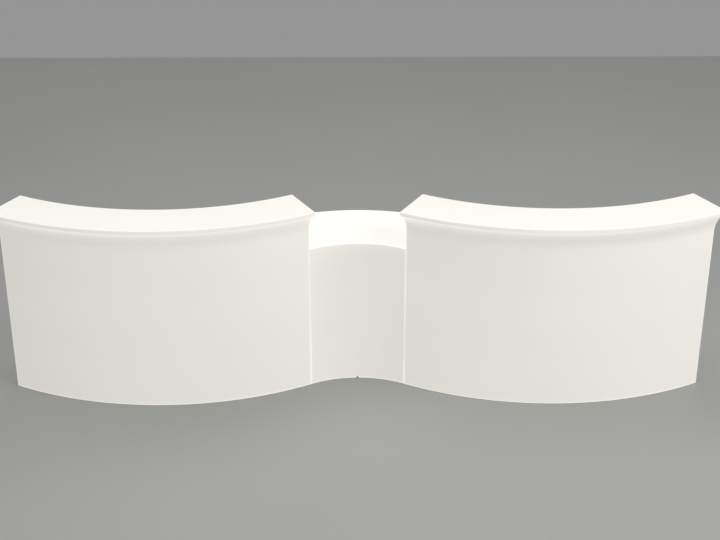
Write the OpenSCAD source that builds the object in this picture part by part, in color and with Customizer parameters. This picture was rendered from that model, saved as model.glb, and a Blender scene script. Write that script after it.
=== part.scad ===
// Illuminated bar counter: two tall modules and one low middle module, joined in a wave.
// Every section is drawn as depth from the front face against height, then turned
// about its module's own arc centre. Millimetres, Z up, origin under the middle of the counter.

/* [Counter] */
// Height of the two tall modules
bar_h = 1100; // [1050:5:1150]
// Height of the worktops and of the low middle module
work_h = 850; // [800:5:900]
// Front radius of the tall modules, which bulge forward
front_r = 1690; // [1550:5:1850]
// Front radius of the middle module, which curves inward
mid_front_r = 532; // [480:1:640]
// Half of the angle that each module spans
half_angle = 29.25; // [27:0.25:32]
// Depth of every module from its front face to its rear edge
depth = 438; // [410:1:480]
// Depth of the high top from its nose to its rear edge
top_depth = 270; // [255:1:290]

/* [Lip] */
// How far the nose stands out past the front face
lip_out = 80; // [60:1:95]
// Height of the hollow sweep under the nose
cove_h = 130; // [110:1:160]
// Height of the upright nose
nose_h = 20; // [16:1:30]
// Rounding of the moulded top edges
edge_r = 4; // [2:0.5:5]

/* [Moulded shells] */
// Wall of the translucent shells
wall = 6; // [4:0.5:8]
// Gap between the shells and the floor
skirt_gap = 3; // [2:0.5:6]
// Height of the rear apron of the middle shell
apron_h = 86; // [70:1:110]
// Width of the cable notch under the middle shell's front
notch_w = 12; // [8:1:20]
// Height of the cable notch over the shell's lower edge
notch_h = 9; // [8:1:20]

/* [Carcass] */
// Thickness of the base boards and cheeks
board_t = 18; // [15:1:22]
// Thickness of the reflector panels and of the light tray
panel_t = 6; // [4:0.5:9]
// Thickness of the worktops
worktop_t = 25; // [20:1:32]
// Rounding of the worktop's rear edge
worktop_edge_r = 3; // [1:0.5:6]
// Thickness of the shelves
shelf_t = 18; // [15:1:22]
// Height of the underside of the shelves
shelf_z = 430; // [400:5:480]
// How far the base and shelves stop short of the rear edge
rear_inset = 20; // [15:1:40]
// Height and width of the battens under the shelves
batten = 20; // [15:1:25]
// Clearance between the carcass and the shells and panels
seat_gap = 0.5; // [0.3:0.1:1]
// Gap between flat faces that are screwed or bolted together
face_gap = 0.1; // [0.05:0.05:0.3]
// Diameter of the shelf pegs
peg_d = 8; // [6:1:10]
// Length of a shelf peg inside its cheek, and again outside it
peg_half = 11; // [8:1:13]

/* [Levelling feet] */
// Diameter of the foot pad
pad_d = 40; // [34:1:50]
// Thickness of the foot pad
pad_h = 8; // [6:1:12]
// Width across the flats of the adjusting hexagon
foot_hex = 17; // [15:1:22]
// Height of the adjusting hexagon
foot_hex_h = 8; // [6:1:10]
// Diameter of the foot's stem
stem_d = 10; // [8:1:12]
// Running clearance round the stem, on the radius
stem_gap = 0.06; // [0.05:0.01:0.09]
// How far a foot screws out
foot_travel = 15; // [10:1:18]
// Outer diameter of the threaded sleeve
sleeve_d = 18; // [16:1:20]
// Diameter of the sleeve's flange
flange_d = 32; // [28:1:36]
// Thickness of the sleeve's flange
flange_t = 4; // [3:0.5:5]
// How far the sleeve stands above the base board, beyond the foot's travel
sleeve_spare = 7; // [5:1:10]
// Distance of the feet from the end walls
foot_side = 70; // [60:1:85]
// Depth of the front feet behind the front face
foot_front = 60; // [50:1:80]
// Distance of the rear feet from the rear edge
foot_rear = 62; // [55:1:80]

/* [Lighting] */
// Width of the LED channels
channel_w = 17; // [15:1:20]
// Depth of the LED channels
channel_d = 12; // [9:1:14]
// Wall of the LED channels
channel_t = 1.5; // [1:0.25:2]
// Thickness of the opal covers on the channels
cover_t = 1.2; // [1:0.1:2]
// Width of the LED strips
strip_w = 10; // [8:1:12]
// Thickness of the LED strips
strip_t = 1; // [0.8:0.1:1.5]
// Length of one light-emitting pad on a strip
led_l = 24; // [15:1:40]
// Width of one light-emitting pad on a strip
led_w = 6; // [4:0.5:7]
// Height of one light-emitting pad over its strip
led_h = 2; // [1.5:0.25:3]
// Distance between neighbouring light-emitting pads
led_pitch = 110; // [80:5:160]
// Distance of the channel ends from the end walls
led_inset = 80; // [60:1:110]
// Height of the lowest channels
low_led_z = 200; // [160:5:260]
// Height of the upper channels on the reflector panels
high_led_z = 560; // [480:5:640]
// Height of the top channels over the worktops
top_led_rise = 110; // [90:5:140]
// Distance between the two channels on the light tray
tray_led_step = 130; // [110:5:150]
// Length of an LED driver
driver_l = 120; // [90:1:130]
// Width of an LED driver
driver_w = 44; // [36:1:46]
// Height of an LED driver
driver_h = 36; // [30:1:45]
// Length of the screw lug at each end of a driver
lug_l = 10; // [8:1:14]
// Clearance between a driver and the reflector panel
driver_gap = 4; // [4:0.5:6]
// Angle of the tall modules' drivers from their middle
driver_turn = 20; // [18:0.5:22]

/* [Wiring] */
// Diameter of the mains cables
cable_d = 8; // [6:0.5:10]
// Diameter of the low-voltage leads
lead_d = 4; // [3:0.5:5]
// Play between a cable's end and what it enters
cable_play = 0.3; // [0.2:0.1:0.5]
// Diameter of the grommet holes in the end walls
grommet_hole_d = 20; // [18:0.5:24]
// Diameter of the grommets' flanges
grommet_d = 26; // [25:0.5:32]
// Thickness of the grommets' flanges
grommet_t = 2; // [1.5:0.25:3]
// Diameter of the couplers beside each joint
coupler_d = 15; // [14:0.5:18]
// Length of a coupler
coupler_l = 32; // [24:1:40]
// Distance of a coupler from the joint
coupler_in = 14; // [12:1:18]
// Width of a cable saddle
saddle_w = 12; // [8:1:16]
// Angle between the saddles on the tall modules
saddle_turn = 5; // [4:0.25:6]

/* [Mains inlet] */
// Width of the inlet's plate
inlet_w = 84; // [80:1:90]
// Height of the inlet's plate
inlet_h = 32; // [30:1:34]
// Thickness of the inlet's plate
inlet_t = 3; // [2:0.25:4]
// Rim of the plate round the body behind it
inlet_rim = 4; // [3:0.5:5]
// Depth of the body behind the plate
inlet_body = 46; // [44:1:60]
// Width of the socket recess
socket_w = 24; // [22:0.5:26]
// Height of the socket recess
socket_h = 16; // [15:0.5:18]
// Depth of the socket recess
socket_deep = 20; // [18:0.5:22]
// Length of the contact pins in the socket
contact_l = 13; // [11:0.5:14]
// Distance between neighbouring contact pins
contact_pitch = 7; // [6.5:0.25:7.5]
// Distance of the socket and of the switch from the plate's middle
inlet_pitch = 21; // [20:0.5:24]

/* [Rocker switch] */
// Width of the rocker
rocker_w = 14; // [12:0.5:16]
// Radius of the rocker's ends about its pivot
rocker_r = 11; // [10:0.25:12]
// Tilt of each face of the rocker
rocker_tilt = 9; // [7:0.5:10]
// Distance of the rocker's waist from its pivot
rocker_waist = 2.5; // [2:0.25:3.5]
// Depth of the rocker behind its pivot
rocker_back = 4; // [3:0.25:5]
// Diameter of the rocker's pivot pin
pivot_d = 3; // [2.5:0.25:4]
// Length of the pivot pin on each side of the rocker
pivot_l = 2; // [1.5:0.25:3]
// Running clearance round the pivot pin, on the radius
pivot_gap = 0.05; // [0.03:0.01:0.08]
// Clearance round the rocker in its well
rocker_gap = 0.4; // [0.3:0.05:0.6]

/* [Fasteners] */
// Diameter of the joining bolts
bolt_d = 8; // [6:1:10]
// Clearance round the joining bolts, on the radius
bolt_gap = 0.5; // [0.3:0.1:1]
// Width across the flats of the bolt heads and nuts
bolt_hex = 13; // [12:1:16]
// Height of the bolt heads
bolt_head_h = 5.5; // [5:0.5:7]
// Height of the nuts
nut_h = 6.5; // [6:0.5:8]
// Diameter of the washers
washer_d = 18; // [16:1:22]
// Thickness of the washers
washer_t = 1.6; // [1:0.1:2.5]
// Length of bolt showing past the nut
bolt_proud = 4; // [2:0.5:8]
// Distance of the joining bolts from the rear edge
bolt_rear = 108; // [90:1:130]
// Height of the lower joining bolts
low_bolt_z = 240; // [200:5:300]
// Height of the upper joining bolts
high_bolt_z = 640; // [580:5:680]
// Diameter of the wood screws
screw_d = 4; // [3.5:0.5:5]
// Diameter of the wood screws' heads
screw_head_d = 8; // [7:0.5:10]
// Height of the wood screws' heads
screw_head_h = 2.5; // [2:0.25:3.5]
// Length of the wood screws in the cheeks
screw_bite = 12; // [10:1:14]
// Clearance round the wood screws, on the radius
screw_gap = 0.1; // [0.05:0.05:0.2]
// Gap under the panel screws' heads, which sit square on a curved panel
head_gap = 0.2; // [0.15:0.05:0.4]
// Distance of the panel screws from the ends of the cheeks
screw_end = 60; // [50:5:90]
// Distance of the cheek screws in front of the joining bolts
cheek_screw_step = 72; // [60:1:80]

/* [Hidden] */
// Facets of small curves, of the curves in a turned section and of the long sweeps
$fn = 48;
section_fn = 96;
sweep_fn = 360;

// How far cutting bodies reach past what they cut, and turned sections past the end planes
over = 1;
turn_over = 2;

// Arc centres: the middle module's lies in front of it, the tall modules' lie behind them
centre_step = mid_front_r + front_r;
arc_x = centre_step * sin(half_angle);
front_y = -mid_front_r + centre_step * cos(half_angle) - front_r - lip_out;
shift_y = -(front_y + depth) / 2;
mid_y = shift_y - mid_front_r;
arc_y = mid_y + centre_step * cos(half_angle);

// Depths behind the front face
panel_d = top_depth - lip_out;
panel_front = panel_d - panel_t;
carcass_d = panel_d + seat_gap;
rear_foot = depth - foot_rear;
bolt_depth = depth - bolt_rear;
cheek_screw_depth = bolt_depth - cheek_screw_step;
driver_depth = panel_front - driver_gap - driver_w / 2;
lead_depth = panel_front - channel_d / 2 - lead_d / 2;
cable_depth = driver_depth;

// Heights
base_z = pad_h + foot_hex_h + flange_t;
base_top = base_z + board_t;
sleeve_top = base_top + foot_travel + sleeve_spare;
cove_z = bar_h - nose_h - cove_h;
worktop_z = work_h - worktop_t;
tray_z = work_h - apron_h;
tray_top = tray_z + panel_t;
cable_z = base_top + driver_h / 2;

// The cove is an arc that leaves the front face upright and ends at the nose
cove_r = (cove_h * cove_h + lip_out * lip_out) / (2 * lip_out);

// Distance of a cheek's inner face from its end plane, and half of what a joining bolt clamps
cheek_in = wall + face_gap + board_t;
grip = cheek_in + face_gap;

// The inlet's plate seats with its ends on the hollow rear face of the left reflector
inlet_seat = sqrt(pow(front_r - panel_d, 2) - inlet_w * inlet_w / 4);
inlet_body_w = inlet_w - 2 * inlet_rim;
inlet_body_h = inlet_h - 2 * inlet_rim;
inlet_half = asin((inlet_body_w / 2 + cable_play) / (front_r - cable_depth));

// Half height of the well that the rocker turns in, and the pivot's distance behind the plate's face
well_half = rocker_r + rocker_gap;
pivot_in = rocker_waist;

function is_middle(m) = m == 0;
// Radius at a depth behind the front face, in module m: -1 left, 0 middle, 1 right
function rad(m, d) = is_middle(m) ? mid_front_r + d : front_r - d;
function top_of_carcass(m) = is_middle(m) ? tray_z : worktop_z;
// A tall module is joined at its end -1 only; its other end is free
function is_joined(m, s) = is_middle(m) || s < 0;
function joint_ends(m) = [for (s = [-1, 1]) if (is_joined(m, s)) s];
function panel_channel_heights(m) =
    is_middle(m) ? [low_led_z, high_led_z] : [low_led_z, high_led_z, work_h + top_led_rise];
function tray_channel_depths() = [for (i = [0, 1]) panel_d + channel_w / 2 + i * tray_led_step];

// Puts a module's own frame in place: its middle runs along +Y from its arc centre.
// In a tall module's frame the joint is at -X and the free end at +X.
module place(m) {
    if (is_middle(m)) translate([0, mid_y, 0]) children();
    if (m > 0) translate([arc_x, arc_y, 0]) mirror([0, 1, 0]) children();
    if (m < 0) mirror([1, 0, 0]) translate([arc_x, arc_y, 0]) mirror([0, 1, 0]) children();
}

// Frame of an end plane: the plane is x = 0 and the module lies at -X
module at_end(s) {
    if (s > 0) rotate(-half_angle) children();
    if (s < 0) mirror([1, 0, 0]) rotate(-half_angle) children();
}

// Frame on a module's arc at an angle from its middle
module at_arc(m, d, turn, z) rotate(-turn) translate([0, rad(m, d), z]) children();

// Sector between the end planes, moved inward by a distance
module sector(inset) {
    reach = 2 * (front_r + lip_out);
    x = reach * sin(half_angle);
    y = reach * cos(half_angle);
    translate([0, inset / sin(half_angle)]) polygon([[0, 0], [x, y], [-x, y]]);
}

// Turns a section, drawn as depth against height, between a module's end planes
module turned(m, inset) {
    turn = half_angle + turn_over;
    intersection() {
        rotate(90 - turn) rotate_extrude(angle = 2 * turn, $fn = sweep_fn)
            translate([rad(m, 0), 0]) section_side(m) children();
        translate([0, 0, -over]) linear_extrude(bar_h + 2 * over) sector(inset);
    }
}

module section_side(m) {
    if (is_middle(m)) children();
    else mirror([1, 0]) children();
}

// Curved board between two depths and two heights
module board(m, d0, d1, z0, z1, inset)
    turned(m, inset) translate([d0, z0]) square([d1 - d0, z1 - z0]);

// Round cut at a convex corner that points to the upper right, turned as given
module corner_cut(d, z, turn, r)
    translate([d, z]) rotate(turn) translate([-r, -r]) difference() {
        square(r + over);
        circle(r, $fn = section_fn);
    }

// Outside of a tall module: straight front, hollow sweep, nose, high top and low rear
module tall_section() {
    translate([0, skirt_gap]) square([depth, work_h - skirt_gap]);
    difference() {
        translate([-lip_out, cove_z]) square([top_depth, bar_h - cove_z]);
        translate([-cove_r, cove_z]) circle(cove_r, $fn = section_fn);
        corner_cut(-lip_out, bar_h, 90, edge_r);
        corner_cut(panel_d, bar_h, 0, edge_r);
    }
    translate([0, work_h - over]) square([panel_d, cove_z - work_h + 2 * over]);
}

// Hollow of a tall module: open below, and open behind up to the worktop
module tall_hollow() {
    translate([wall, -over]) square([depth + over - wall, work_h + over]);
    translate([wall, work_h - over]) square([panel_d - 2 * wall, cove_z - work_h + 2 * over]);
    difference() {
        translate([wall - lip_out, cove_z]) square([top_depth - 2 * wall, bar_h - wall - cove_z]);
        translate([-cove_r, cove_z]) circle(cove_r + wall, $fn = section_fn);
    }
}

module middle_section() {
    difference() {
        translate([0, skirt_gap]) square([depth, work_h - skirt_gap]);
        corner_cut(0, work_h, 90, edge_r);
        corner_cut(depth, work_h, 0, edge_r);
    }
}

module middle_hollow() {
    translate([wall, -over]) square([depth - 2 * wall, work_h - wall + over]);
    translate([wall, -over]) square([depth + over - wall, tray_z + over]);
}

// Drillings through an end wall and its cheek
module bolt_holes(m)
    for (z = [low_bolt_z, high_bolt_z])
        translate([over, rad(m, bolt_depth), z]) rotate([0, -90, 0])
            cylinder(r = bolt_d / 2 + bolt_gap, h = cheek_in + 2 * over);

module grommet_hole(m)
    translate([over, rad(m, cable_depth), cable_z]) rotate([0, -90, 0])
        cylinder(d = grommet_hole_d, h = wall + 2 * over);

module end_drillings(m)
    for (s = joint_ends(m)) at_end(s) {
        bolt_holes(m);
        grommet_hole(m);
    }

module tall_fascia(m)
    color("#f4f2ec") place(m) difference() {
        turned(m, 0) tall_section();
        turned(m, wall) tall_hollow();
        end_drillings(m);
        for (s = [-1, 1]) at_end(s) cheek_screw_holes(m);
    }

module left_fascia() tall_fascia(-1);
module right_fascia() tall_fascia(1);

module middle_fascia()
    color("#faf8f2") place(0) difference() {
        turned(0, 0) middle_section();
        turned(0, wall) middle_hollow();
        end_drillings(0);
        for (s = [-1, 1]) at_end(s) cheek_screw_holes(0);
        cable_notch();
    }

// Small round-headed notch in the lower edge of the middle front
module cable_notch() {
    top = skirt_gap + notch_h - notch_w / 2;
    translate([0, mid_front_r - over, top]) rotate([-90, 0, 0])
        cylinder(d = notch_w, h = wall + 2 * over);
    translate([-notch_w / 2, mid_front_r - over, 0]) cube([notch_w, wall + 2 * over, top]);
}

// The four places of a module's feet, as depth and side
module at_foot(m, d, s)
    at_end(s) translate([-foot_side, sqrt(rad(m, d) * rad(m, d) - foot_side * foot_side), 0])
        children();

module at_feet(m)
    for (d = [foot_front, rear_foot]) for (s = [-1, 1]) at_foot(m, d, s) children();

module base(m)
    color("#e9e6df") place(m) difference() {
        board(m, wall + seat_gap, depth - rear_inset, base_z, base_top, wall + seat_gap);
        at_feet(m) translate([0, 0, base_z - over]) cylinder(d = sleeve_d, h = board_t + 2 * over);
    }

module left_base() base(-1);
module middle_base() base(0);
module right_base() base(1);

// Head, shank and hole of the screws that hold a reflector to its cheeks' front edges
module at_panel_screws(m) {
    x = board_t / 2 - cheek_in;
    r = rad(m, panel_front - head_gap);
    for (s = [-1, 1]) for (z = [base_top + screw_end, top_of_carcass(m) - screw_end])
        at_end(s) translate([x, sqrt(r * r - x * x), z])
            rotate([is_middle(m) ? -90 : 90, 0, 0]) children();
}

module wood_screw() {
    translate([0, 0, -screw_head_h]) cylinder(d1 = screw_d, d2 = screw_head_d, h = screw_head_h);
    cylinder(d = screw_d, h = head_gap + panel_t + seat_gap + screw_bite);
}

module panel_screw_holes(m)
    at_panel_screws(m) translate([0, 0, -over])
        cylinder(r = screw_d / 2 + screw_gap, h = panel_t + seat_gap + screw_bite + 2 * over);

module panel_screws()
    color("silver") for (m = [-1, 0, 1]) place(m) at_panel_screws(m) wood_screw();

module reflector(m)
    color("#fbfbf8") place(m) difference() {
        board(m, panel_front, panel_d, base_top, top_of_carcass(m), wall + seat_gap);
        panel_screw_holes(m);
        if (m < 0) inlet_cut_out();
    }

module left_reflector() reflector(-1);
module middle_reflector() reflector(0);
module right_reflector() reflector(1);

// Flat floor of the light space under the middle module's top
module middle_light_tray()
    color("#fbfbf8") place(0)
        board(0, panel_front, depth - wall - seat_gap, tray_z, tray_top, wall + seat_gap);

// Worktop behind a tall module, with its front edge under the shell's upstand
module worktop(m)
    color("#dfe1e2") place(m) turned(m, wall + seat_gap) difference() {
        translate([panel_front - wall, worktop_z]) square([depth - panel_front + wall, worktop_t]);
        corner_cut(depth, work_h, 0, worktop_edge_r);
        corner_cut(depth, worktop_z, 270, worktop_edge_r);
    }

module left_worktop() worktop(-1);
module right_worktop() worktop(1);

// Upright board against an end wall, behind the reflector
module cheek(m, s)
    color("#e9e6df") place(m) difference() {
        at_end(s) cheek_board(m);
        if (is_joined(m, s)) at_end(s) bolt_holes(m);
        at_end(s) peg_holes(m);
        at_end(s) cheek_screw_holes(m);
        panel_screw_holes(m);
    }

module cheek_board(m) {
    front = rad(m, carcass_d);
    rear = rad(m, depth - rear_inset);
    translate([-cheek_in, min(front, rear), base_top])
        cube([board_t, abs(rear - front), top_of_carcass(m) - base_top]);
}

module at_pegs(m)
    for (d = [carcass_d + batten + 2 * peg_d, depth - rear_inset - 3 * peg_d])
        translate([-cheek_in, rad(m, d), shelf_z - peg_d / 2]) rotate([0, 90, 0]) children();

module peg_holes(m)
    at_pegs(m) translate([0, 0, -over]) cylinder(r = peg_d / 2 + screw_gap, h = peg_half + over);

module shelf_pegs()
    color("silver") for (m = [-1, 0, 1]) place(m) for (s = [-1, 1]) at_end(s)
        at_pegs(m) translate([0, 0, -peg_half]) cylinder(d = peg_d, h = 2 * peg_half);

// Screws from inside each cheek into the moulded end wall
module at_cheek_screws(m)
    for (z = [low_bolt_z, high_bolt_z])
        translate([-cheek_in, rad(m, cheek_screw_depth), z]) rotate([0, 90, 0]) children();

// Length of a cheek screw, which ends halfway through the end wall
function cheek_screw_l() = board_t + face_gap + wall / 2;

// Countersunk hole, whose cone runs on past the cheek's inner face
module cheek_screw_holes(m)
    at_cheek_screws(m) {
        flare = over * (screw_head_d - screw_d) / screw_head_h;
        translate([0, 0, -over])
            cylinder(d1 = screw_head_d + flare + 2 * screw_gap, d2 = screw_d + 2 * screw_gap,
                h = screw_head_h + over);
        cylinder(r = screw_d / 2 + screw_gap, h = cheek_screw_l() + screw_gap);
    }

module cheek_screws()
    color("silver") for (m = [-1, 0, 1]) place(m) for (s = [-1, 1]) at_end(s)
        at_cheek_screws(m) {
            cylinder(d1 = screw_head_d, d2 = screw_d, h = screw_head_h);
            cylinder(d = screw_d, h = cheek_screw_l());
        }

module left_end_cheek() cheek(-1, 1);
module left_joint_cheek() cheek(-1, -1);
module middle_left_cheek() cheek(0, -1);
module middle_right_cheek() cheek(0, 1);
module right_joint_cheek() cheek(1, -1);
module right_end_cheek() cheek(1, 1);

module shelf(m)
    color("#e9e6df") place(m)
        board(m, carcass_d, depth - rear_inset, shelf_z, shelf_z + shelf_t, cheek_in + seat_gap);

module left_shelf() shelf(-1);
module middle_shelf() shelf(0);
module right_shelf() shelf(1);

module shelf_batten(m)
    color("#e9e6df") place(m)
        board(m, carcass_d, carcass_d + batten, shelf_z - batten, shelf_z, cheek_in + seat_gap);

module left_shelf_batten() shelf_batten(-1);
module middle_shelf_batten() shelf_batten(0);
module right_shelf_batten() shelf_batten(1);

// Open channel section: back at depth 0, mouth at depth -channel_d
module channel_section()
    difference() {
        translate([-channel_d, -channel_w / 2]) square([channel_d, channel_w]);
        translate([-channel_d - over, channel_t - channel_w / 2])
            square([channel_d - channel_t + over, channel_w - 2 * channel_t]);
    }

module strip_section()
    translate([-channel_t - strip_t, -strip_w / 2]) square([strip_t, strip_w]);

module cover_section()
    translate([-channel_d - cover_t, -channel_w / 2]) square([cover_t, channel_w]);

// Sections on the reflector face forward, and those on the light tray face up
module lit_lines(m) {
    turned(m, led_inset) {
        for (z = panel_channel_heights(m)) translate([panel_front, z]) children();
        if (is_middle(m)) for (d = tray_channel_depths()) translate([d, tray_top]) rotate(-90) children();
    }
}

module led_channels(m) color("lightgrey") place(m) lit_lines(m) channel_section();
module left_led_channels() led_channels(-1);
module middle_led_channels() led_channels(0);
module right_led_channels() led_channels(1);

module led_covers() color("#f6f6f2") for (m = [-1, 0, 1]) place(m) lit_lines(m) cover_section();

// Light-emitting pads along an arc of radius r, as many as fit between the channel's ends
module led_row(r) {
    free = half_angle - asin((led_inset + led_l) / r);
    step = led_pitch / r * 180 / PI;
    n = floor(free / step);
    for (i = [-n:n]) rotate(-i * step) translate([0, r, 0]) children();
}

module led_pads(m) {
    tall = strip_t / 2 + led_h;
    r = rad(m, panel_front - channel_t - strip_t / 2);
    for (z = panel_channel_heights(m)) led_row(r)
        translate([-led_l / 2, is_middle(m) ? -tall : 0, z - led_w / 2]) cube([led_l, tall, led_w]);
    if (is_middle(m)) for (d = tray_channel_depths()) led_row(rad(m, d))
        translate([-led_l / 2, -led_w / 2, tray_top + channel_t + strip_t / 2])
            cube([led_l, led_w, tall]);
}

module led_strips()
    color("#f2e3a0") for (m = [-1, 0, 1]) place(m) {
        lit_lines(m) strip_section();
        led_pads(m);
    }

// A driver stands on the base board, close in front of the reflector
module driver(m)
    color("lightgrey") place(m) at_arc(m, driver_depth, driver_angle(m), base_top) driver_body();

function driver_angle(m) = is_middle(m) ? 0 : -driver_turn;

// Six fins and five grooves share the driver's width evenly
module driver_body() {
    rib = driver_w / 11;
    difference() {
        translate([-driver_l / 2, -driver_w / 2, 0]) cube([driver_l, driver_w, driver_h]);
        for (i = [-2:2])
            translate([-driver_l / 2 + lug_l, (2 * i - 0.5) * rib, driver_h - rib])
                cube([driver_l - 2 * lug_l, rib, rib + over]);
    }
    for (s = [0, 1]) mirror([s, 0, 0]) difference() {
        translate([driver_l / 2, -driver_w / 4, 0]) cube([lug_l, driver_w / 2, rib]);
        translate([driver_l / 2 + lug_l / 2, 0, -over]) cylinder(d = screw_d, h = rib + 2 * over);
    }
}

module left_driver() driver(-1);
module middle_driver() driver(0);
module right_driver() driver(1);

// Angle from a driver's middle to its end face, along the cable's arc
function driver_half(m) = asin((driver_l / 2 + cable_play) / rad(m, cable_depth));

module cable_arc(m, from, to, gap = 0)
    rotate(90 - to) rotate_extrude(angle = to - from)
        translate([rad(m, cable_depth), cable_z]) circle(r = cable_d / 2 + gap);

// Angle from a joint to the middle of the coupler beside it, along the cable's arc
function coupler_turn(m) = asin((coupler_in + coupler_l / 2) / rad(m, cable_depth));

// Straight lead through a joint's two grommets, with a coupler at each end
module joint_link()
    at_end(1) translate([0, rad(0, cable_depth), cable_z]) rotate([0, 90, 0]) {
        reach = coupler_in + coupler_l / 2;
        cylinder(d = cable_d, h = 2 * reach, center = true);
        for (s = [0, 1]) mirror([0, 0, s]) translate([0, 0, coupler_in])
            cylinder(d = coupler_d, h = coupler_l);
    }

// One linked cable through each joint, and one from the inlet to the left driver
module mains_cables()
    color("#d8d8d4") {
        for (m = [-1, 1]) {
            place(m) cable_arc(m, coupler_turn(m) - half_angle, driver_angle(m) - driver_half(m));
            mirror([m < 0 ? 1 : 0, 0, 0]) place(0) {
                cable_arc(0, driver_half(0), half_angle - coupler_turn(0));
                joint_link();
            }
        }
        place(-1) cable_arc(-1, driver_angle(-1) + driver_half(-1), -inlet_half);
    }

// A saddle holds a cable up from the base board
module saddle(m, turn)
    difference() {
        at_arc(m, cable_depth, turn, base_top) translate([-saddle_w / 2, -cable_d, 0])
            cube([saddle_w, 2 * cable_d, cable_z + cable_d - base_top]);
        reach = asin(saddle_w / rad(m, cable_depth));
        cable_arc(m, turn - reach, turn + reach, screw_gap);
    }

module cable_saddles()
    color("#e9e6df") {
        place(-1) for (i = [1, 2]) saddle(-1, -saddle_turn * i);
        place(0) for (s = [-1, 1]) saddle(0, s * half_angle / 2);
    }

// Rubber bush in an end wall, with its flange on the inside
module grommet(m)
    translate([0, rad(m, cable_depth), cable_z]) rotate([0, -90, 0]) difference() {
        union() {
            cylinder(d = grommet_hole_d, h = wall + over);
            translate([0, 0, wall]) cylinder(d = grommet_d, h = grommet_t);
        }
        translate([0, 0, -over]) cylinder(r = cable_d / 2 + screw_gap, h = wall + grommet_t + 2 * over);
    }

module grommets()
    color("#3a3a3a") for (m = [-1, 0, 1]) place(m) for (s = joint_ends(m)) at_end(s) grommet(m);

// Low-voltage leads: up the reflector from channel to channel, and across the light tray
module lead(z0, z1) translate([0, 0, z0]) cylinder(d = lead_d, h = z1 - z0);

module tall_leads(m) {
    z = panel_channel_heights(m);
    half = channel_w / 2;
    at_arc(m, lead_depth, driver_angle(m), 0) {
        lead(base_top + driver_h, z[0] - half);
        lead(z[0] + half, z[1] - half);
        lead(z[1] + half, z[2] - half);
    }
}

module middle_leads() {
    half = channel_w / 2;
    turn_z = tray_top + channel_d / 2;
    first = tray_channel_depths()[0];
    at_arc(0, lead_depth, 0, 0) {
        lead(base_top + driver_h, low_led_z - half);
        lead(low_led_z + half, high_led_z - half);
        lead(high_led_z + half, turn_z);
        translate([0, 0, turn_z]) sphere(d = lead_d);
        translate([0, 0, turn_z]) rotate([-90, 0, 0])
            cylinder(d = lead_d, h = first - half - lead_depth);
    }
    translate([0, rad(0, first + half), tray_top + lead_d / 2]) rotate([-90, 0, 0])
        cylinder(d = lead_d, h = tray_led_step - channel_w);
}

module led_leads()
    color("#f4f4f4") {
        for (m = [-1, 1]) place(m) tall_leads(m);
        place(0) middle_leads();
    }

// Opening in the left reflector for the inlet's body
module inlet_cut_out()
    translate([-inlet_body_w / 2 - seat_gap, inlet_seat - over, cable_z - inlet_body_h / 2 - seat_gap])
        cube([inlet_body_w + 2 * seat_gap, panel_t + 3 * over, inlet_body_h + 2 * seat_gap]);

// The inlet's plate, with its body through the reflector
module mains_inlet()
    color("#2b2b2b") place(-1) difference() {
        union() {
            translate([-inlet_w / 2, inlet_seat - inlet_t, cable_z - inlet_h / 2])
                cube([inlet_w, inlet_t, inlet_h]);
            translate([-inlet_body_w / 2, inlet_seat - over, cable_z - inlet_body_h / 2])
                cube([inlet_body_w, inlet_body + over, inlet_body_h]);
        }
        socket_recess();
        rocker_well();
    }

// Recess for a mains connector: two clipped corners, with three flat contacts inside
module socket_recess()
    translate([-inlet_pitch, inlet_seat - inlet_t - over, cable_z]) rotate([-90, 0, 0])
        difference() {
            linear_extrude(socket_deep + over) socket_outline();
            translate([0, 0, over + socket_deep - contact_l]) contacts();
        }

module socket_outline() {
    clip = socket_h / 4;
    x = socket_w / 2;
    y = socket_h / 2;
    polygon([[-x, -y + clip], [-x + clip, -y], [x - clip, -y], [x, -y + clip], [x, y], [-x, y]]);
}

module contacts() {
    long = socket_w / 6;
    thick = socket_h / 8;
    for (i = [-1, 0, 1])
        translate([i * contact_pitch - thick / 2, abs(i) * thick - long / 2, 0])
            cube([thick, long, contact_l + over]);
}

// Well and pivot bores of the rocker
module rocker_well()
    translate([inlet_pitch, inlet_seat - inlet_t + pivot_in, cable_z]) {
        translate([-rocker_w / 2 - rocker_gap, -pivot_in - over, -well_half])
            cube([rocker_w + 2 * rocker_gap, pivot_in + over + 2 * rocker_back, 2 * well_half]);
        rotate([0, 90, 0])
            cylinder(r = pivot_d / 2 + pivot_gap, h = rocker_w + 2 * pivot_l + over, center = true);
    }

// Rocker with two tilted faces, resting with its lower half pressed in
module switch_rocker()
    color("#404040") place(-1) translate([inlet_pitch, inlet_seat - inlet_t + pivot_in, cable_z])
        rotate([rocker_tilt, 0, 0]) {
            rotate([0, 90, 0]) cylinder(d = pivot_d, h = rocker_w + 2 * pivot_l, center = true);
            rotate([0, 90, 0]) linear_extrude(rocker_w, center = true) rocker_outline();
        }

// Seen along the pivot: x is down and y is out of the plate, away from the user
module rocker_outline() {
    rise = rocker_waist + 2 * rocker_r * tan(rocker_tilt);
    intersection() {
        circle(rocker_r);
        polygon([[-2 * rocker_r, rocker_back], [2 * rocker_r, rocker_back],
            [2 * rocker_r, -rise], [0, -rocker_waist], [-2 * rocker_r, -rise]]);
    }
}

// Flanged sleeves through the base boards, which hold the feet's stems at any travel
module foot_sleeves()
    color("silver") for (m = [-1, 0, 1]) place(m) at_feet(m) difference() {
        union() {
            translate([0, 0, base_z - flange_t]) cylinder(d = flange_d, h = flange_t);
            translate([0, 0, base_z - over]) cylinder(d = sleeve_d, h = sleeve_top - base_z + over);
        }
        translate([0, 0, base_z - flange_t - over])
            cylinder(r = stem_d / 2 + stem_gap, h = sleeve_top - base_z + flange_t + 2 * over);
    }

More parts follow.
